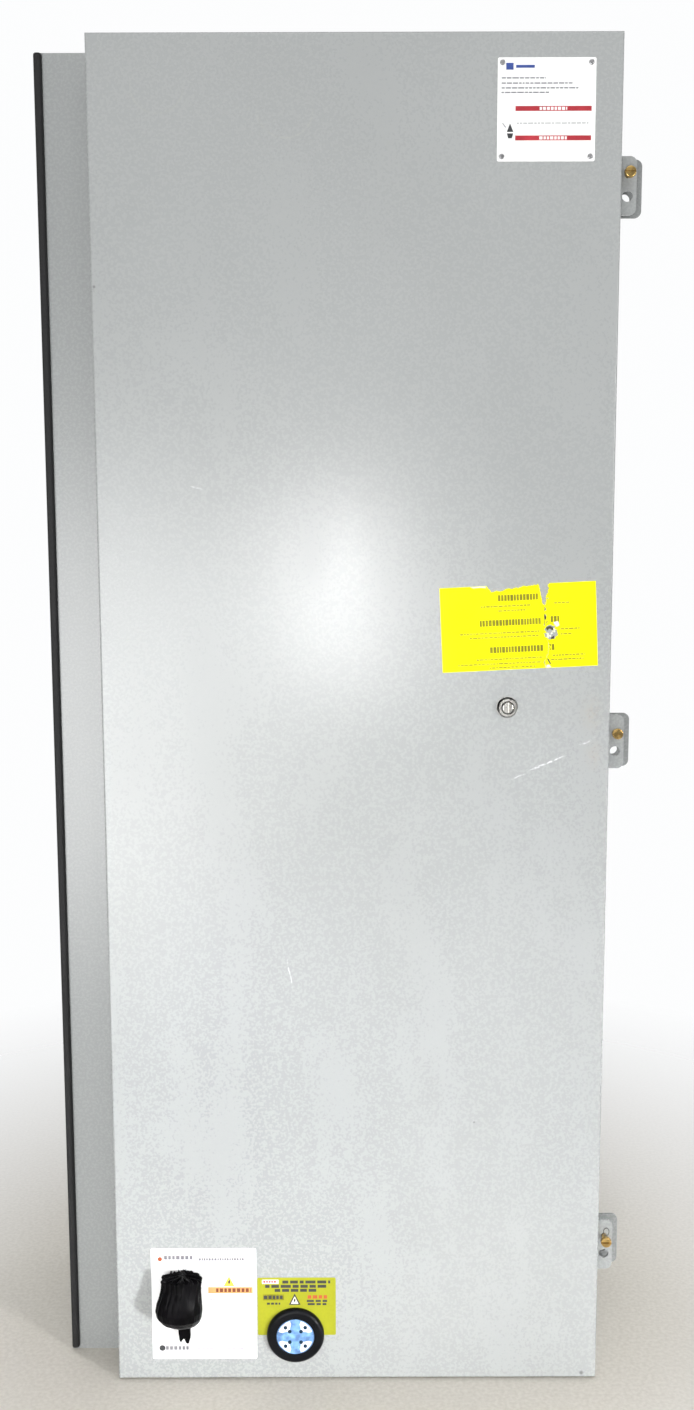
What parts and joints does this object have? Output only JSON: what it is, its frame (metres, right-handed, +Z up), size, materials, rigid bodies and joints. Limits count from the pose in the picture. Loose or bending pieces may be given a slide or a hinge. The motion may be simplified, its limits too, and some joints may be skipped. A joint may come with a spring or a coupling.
{
  "type": "automatic transfer switch",
  "caption": "Tall grey steel enclosure with a hinged, padlockable door over a motor-driven transfer mechanism that links two moulded-case switches.",
  "frame": {"origin": "centre of the enclosure's footprint, on the floor", "axes": "+Z up, -Y out of the door's face, +X to the right of a person who faces the door"},
  "size_m": [0.536, 0.288, 1.219],
  "materials": {
    "grey_paint": "satin light grey enamel",
    "plated_steel": "zinc plated",
    "nickel_plate": "satin nickel",
    "brass": "machined",
    "black_rubber": "matte",
    "grey_foam": "closed cell",
    "white_plate": "gloss white",
    "yellow_vinyl": "printed vinyl",
    "white_vinyl": "printed vinyl",
    "lime_vinyl": "printed vinyl",
    "black_nylon": "moulded",
    "lens_blue": "translucent moulded",
    "phenolic": "moulded, fine texture",
    "grey_plastic": "moulded",
    "white_nylon": "machined",
    "aluminium": "extruded",
    "copper": "bright copper bar",
    "gear_steel": "machined",
    "motor_paint": "black enamel",
    "display_glass": "dark window",
    "red_plastic": "moulded",
    "core_iron": "varnished laminations",
    "wire_pvc": "sleeved wires"
  },
  "bodies": {
    "enclosure": {"back_panel": "grey_paint", "side_panels": "grey_paint", "top_panel": "grey_paint", "bottom_panel": "grey_paint", "hinge_side_frame": "grey_paint", "latch_side_frame": "grey_paint", "cross_frames": "grey_paint", "edge_bumper": "black_rubber", "rear_tabs": "grey_paint", "hinge_fixed_leaf": "plated_steel", "hinge_pin": "plated_steel", "mounting_panel": "plated_steel", "panel_fixings": "plated_steel", "switch_bases": "phenolic", "switch_covers": "phenolic", "cable_lugs": "aluminium", "lug_set_screws": "plated_steel", "load_straps": "copper", "mechanism_bracket": "plated_steel", "shaft_bushing": "brass", "gear_motor": "motor_paint", "carriage_guides": "white_nylon", "controller_housing": "grey_plastic", "controller_display": "display_glass", "control_transformer": "core_iron", "control_relays": "grey_plastic", "terminal_strip": "black_nylon", "terminal_screws": "plated_steel", "neutral_bar": "aluminium", "ground_bar": "aluminium", "bar_stools": "white_nylon", "control_wiring": "wire_pvc"},
    "door": {"door_pan": "grey_paint", "door_gasket": "grey_foam", "hinge_door_leaf": "plated_steel", "front_tabs": "grey_paint", "latch_bushing": "nickel_plate", "nameplate": "white_plate", "nameplate_rivets": "aluminium", "caution_label": "yellow_vinyl", "test_point_label": "white_vinyl", "test_point_jack": "black_nylon", "light_label": "lime_vinyl", "indicator_ring": "black_nylon", "indicator_lens": "lens_blue"},
    "bottom_captive_screw": {"bottom_captive_screw": "brass"},
    "middle_captive_screw": {"middle_captive_screw": "brass"},
    "top_captive_screw": {"top_captive_screw": "brass"},
    "door_latch": {"latch_stud": "nickel_plate", "latch_cam": "plated_steel"},
    "test_point_cap": {"test_point_cap": "black_rubber"},
    "transfer_carriage": {"carriage": "plated_steel"},
    "reduction_gear": {"drive_gear": "gear_steel", "pinion_shaft": "gear_steel", "manual_handle": "red_plastic"},
    "motor_pinion": {"motor_pinion": "gear_steel"},
    "lower_toggle": {"lower_toggle": "phenolic"},
    "upper_toggle": {"upper_toggle": "phenolic"},
    "test_button": {"test_button": "red_plastic"},
    "selector_knob": {"selector_knob": "black_nylon"}
  },
  "joints": [
    {"name": "door_hinge", "type": "hinge", "parent": "enclosure", "child": "door", "pos_m": [-0.204, -0.078, 0.6095], "axis": [0, 0, -1], "range_deg": [0, 90]},
    {"name": "bottom_screw_drive", "type": "slide", "parent": "door", "child": "bottom_captive_screw", "axis": [0, 1, 0], "range_m": [0, 0.0095]},
    {"name": "middle_screw_drive", "type": "slide", "parent": "door", "child": "middle_captive_screw", "axis": [0, 1, 0], "range_m": [0, 0.0095]},
    {"name": "top_screw_drive", "type": "slide", "parent": "door", "child": "top_captive_screw", "axis": [0, 1, 0], "range_m": [0, 0.0095]},
    {"name": "latch_turn", "type": "hinge", "parent": "door", "child": "door_latch", "pos_m": [0.162, -0.127, 0.6465], "axis": [0, -1, 0], "range_deg": [0, 90]},
    {"name": "cap_pull", "type": "slide", "parent": "door", "child": "test_point_cap", "axis": [0, -1, 0], "range_m": [0, 0.04]},
    {"name": "carriage_slide", "type": "slide", "parent": "enclosure", "child": "transfer_carriage", "axis": [0, 0, 1], "range_m": [0, 0.04]},
    {"name": "reduction_gear_spin", "type": "hinge", "parent": "enclosure", "child": "reduction_gear", "pos_m": [-0.025, -0.02, 0.7], "axis": [0, 1, 0], "range_deg": [0, 114.7]},
    {"name": "motor_pinion_spin", "type": "hinge", "parent": "enclosure", "child": "motor_pinion", "pos_m": [0.055, -0.02, 0.7], "axis": [0, 1, 0], "range_deg": [-343.9, 0]},
    {"name": "lower_toggle_tilt", "type": "hinge", "parent": "enclosure", "child": "lower_toggle", "pos_m": [-0.06, 0.04, 0.54], "axis": [1, 0, 0], "range_deg": [-41.2, 0]},
    {"name": "upper_toggle_tilt", "type": "hinge", "parent": "enclosure", "child": "upper_toggle", "pos_m": [-0.06, 0.04, 0.86], "axis": [1, 0, 0], "range_deg": [-41.2, 0]},
    {"name": "test_button_press", "type": "slide", "parent": "enclosure", "child": "test_button", "axis": [0, 1, 0], "range_m": [0, 0.002], "stiffness_N_per_m": 300},
    {"name": "selector_turn", "type": "hinge", "parent": "enclosure", "child": "selector_knob", "pos_m": [0.152, 0.06, 1.01], "axis": [0, 1, 0], "range_deg": [0, 90]}
  ],
  "couplings": [
    {"joint": "reduction_gear_spin", "follows": "carriage_slide", "rad_per_m": 50},
    {"joint": "motor_pinion_spin", "follows": "carriage_slide", "rad_per_m": -150},
    {"joint": "lower_toggle_tilt", "follows": "carriage_slide", "rad_per_m": -17.925},
    {"joint": "upper_toggle_tilt", "follows": "carriage_slide", "rad_per_m": -17.925}
  ]
}
